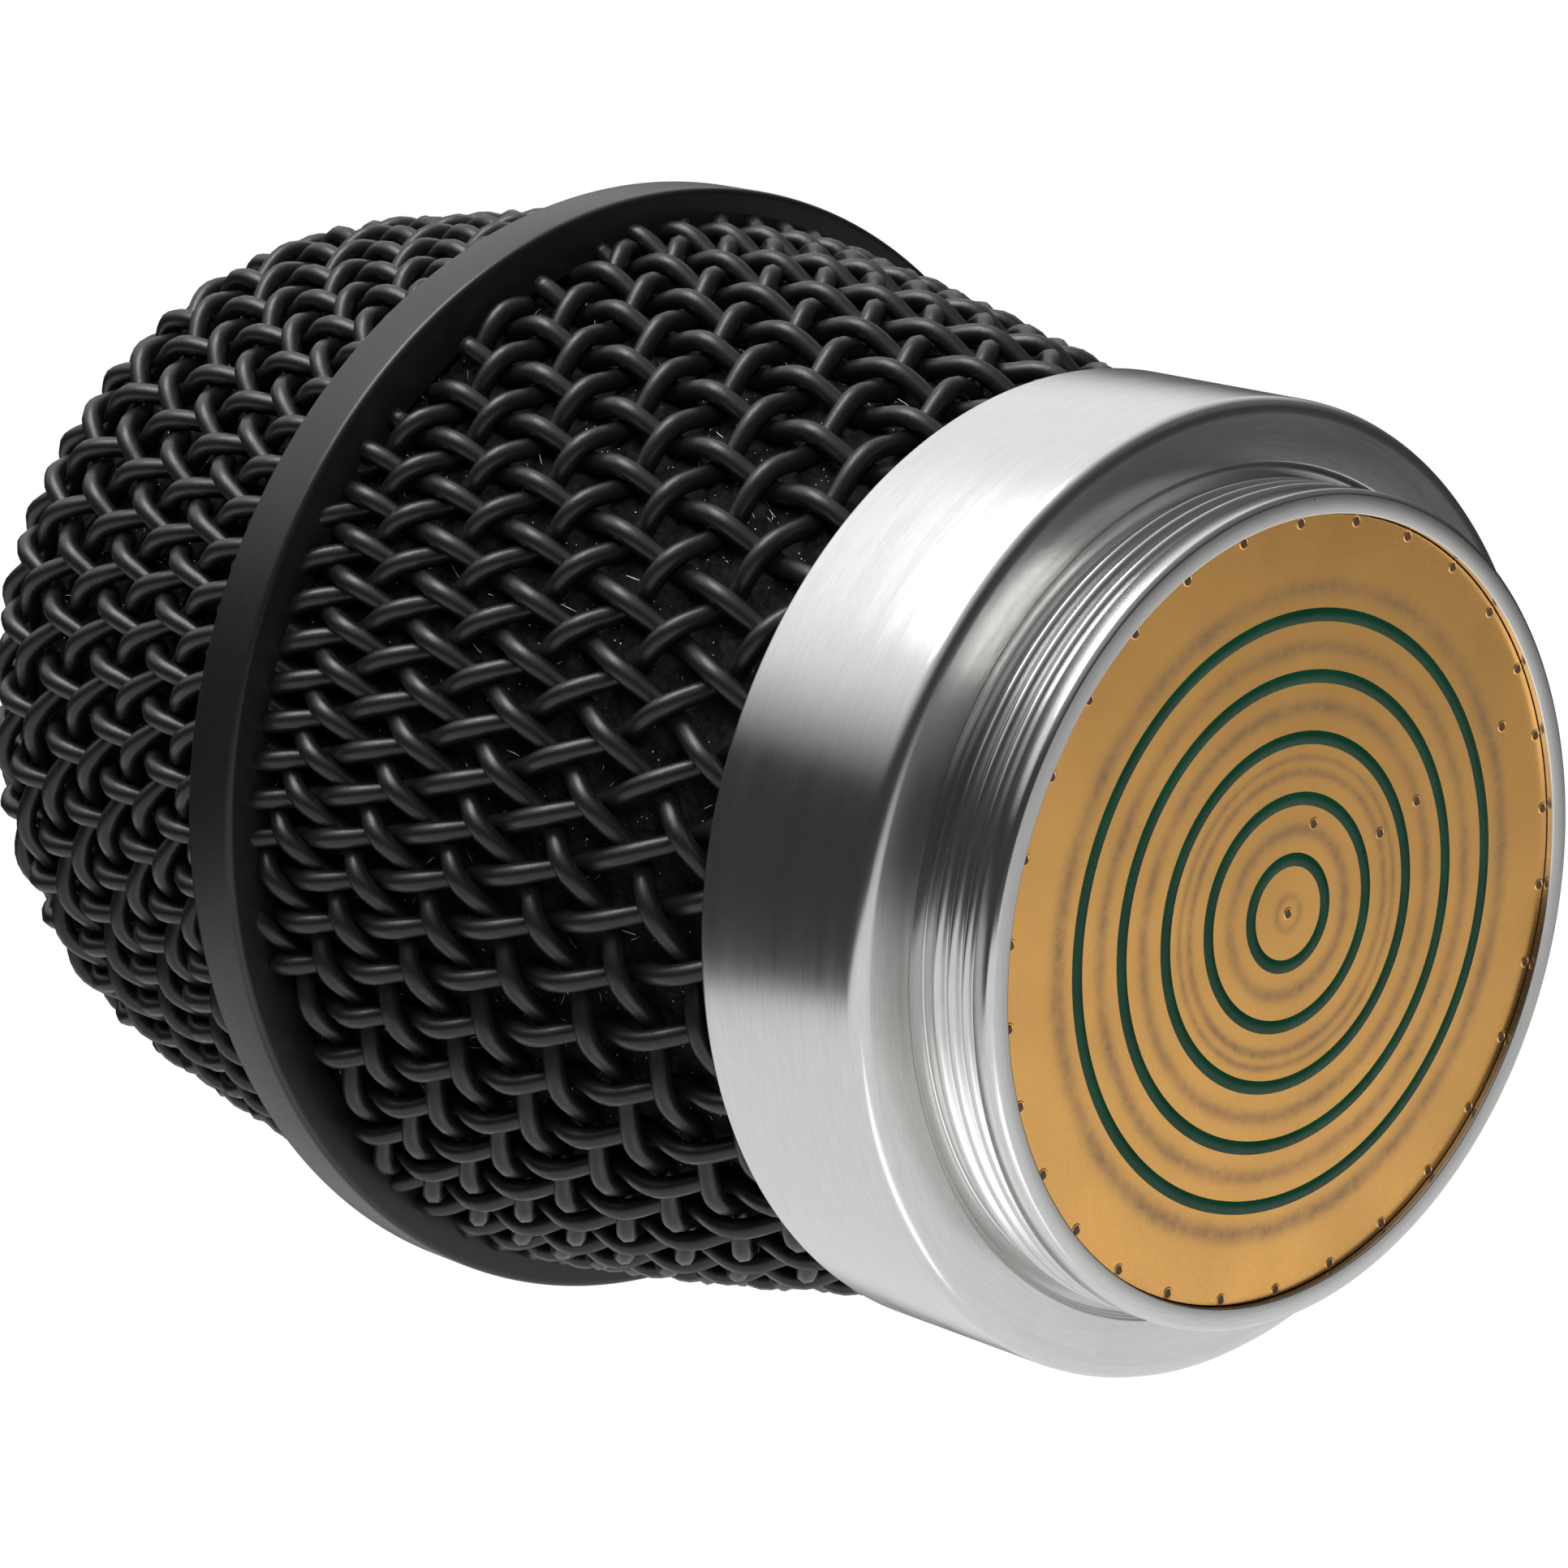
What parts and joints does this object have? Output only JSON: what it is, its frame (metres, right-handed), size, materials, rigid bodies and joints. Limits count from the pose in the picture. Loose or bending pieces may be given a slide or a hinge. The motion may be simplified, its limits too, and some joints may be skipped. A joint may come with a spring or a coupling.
{
  "type": "condenser microphone capsule head",
  "caption": "Screw-on condenser microphone head: woven wire baskets on a turned metal collar with a ringed gold contact board in its threaded nose.",
  "frame": {"origin": "centre of the threaded nose's end face, which the head stands on", "axes": "+Z along the axis from the nose to the dome"},
  "size_m": [0.0454, 0.0454, 0.0635],
  "materials": {
    "satin_metal": "fine turned, satin nickel",
    "green_laminate": "green solder mask",
    "contact_gold": "gold plated, rubbed by contact pins",
    "black_wire": "satin black coating",
    "black_band": "satin black coating",
    "foam": "black open foam",
    "carrier_plastic": "moulded black",
    "screw_steel": "plain steel",
    "mount_rubber": "soft black rubber",
    "housing_brass": "machined brass",
    "diaphragm_gold": "gold sputtered film",
    "lead_wire": "tinned copper",
    "capacitor_red": "moulded box"
  },
  "bodies": {
    "root": {"collar": "satin_metal", "contact_board": "green_laminate", "centre_contact": "contact_gold", "contact_ring_1": "contact_gold", "contact_ring_2": "contact_gold", "contact_ring_3": "contact_gold", "contact_ring_4": "contact_gold", "contact_ring_5": "contact_gold", "rear_grille": "black_wire", "front_grille": "black_wire", "grille_band": "black_band", "rear_foam": "foam", "front_foam": "foam", "capsule_carrier": "carrier_plastic", "carrier_screws": "screw_steel", "shock_mount": "mount_rubber", "capsule_housing": "housing_brass", "insulator_ring": "carrier_plastic", "backplate": "housing_brass", "spacer_ring": "carrier_plastic", "diaphragm": "diaphragm_gold", "tension_ring": "housing_brass", "front_grid": "screw_steel", "signal_lead": "lead_wire", "ground_lead": "lead_wire", "preamp_board": "green_laminate", "pin_header": "carrier_plastic", "header_pins": "contact_gold", "coupling_capacitor": "capacitor_red", "transistor": "carrier_plastic", "gate_resistor": "carrier_plastic", "load_resistor": "carrier_plastic"}
  },
  "joints": []
}
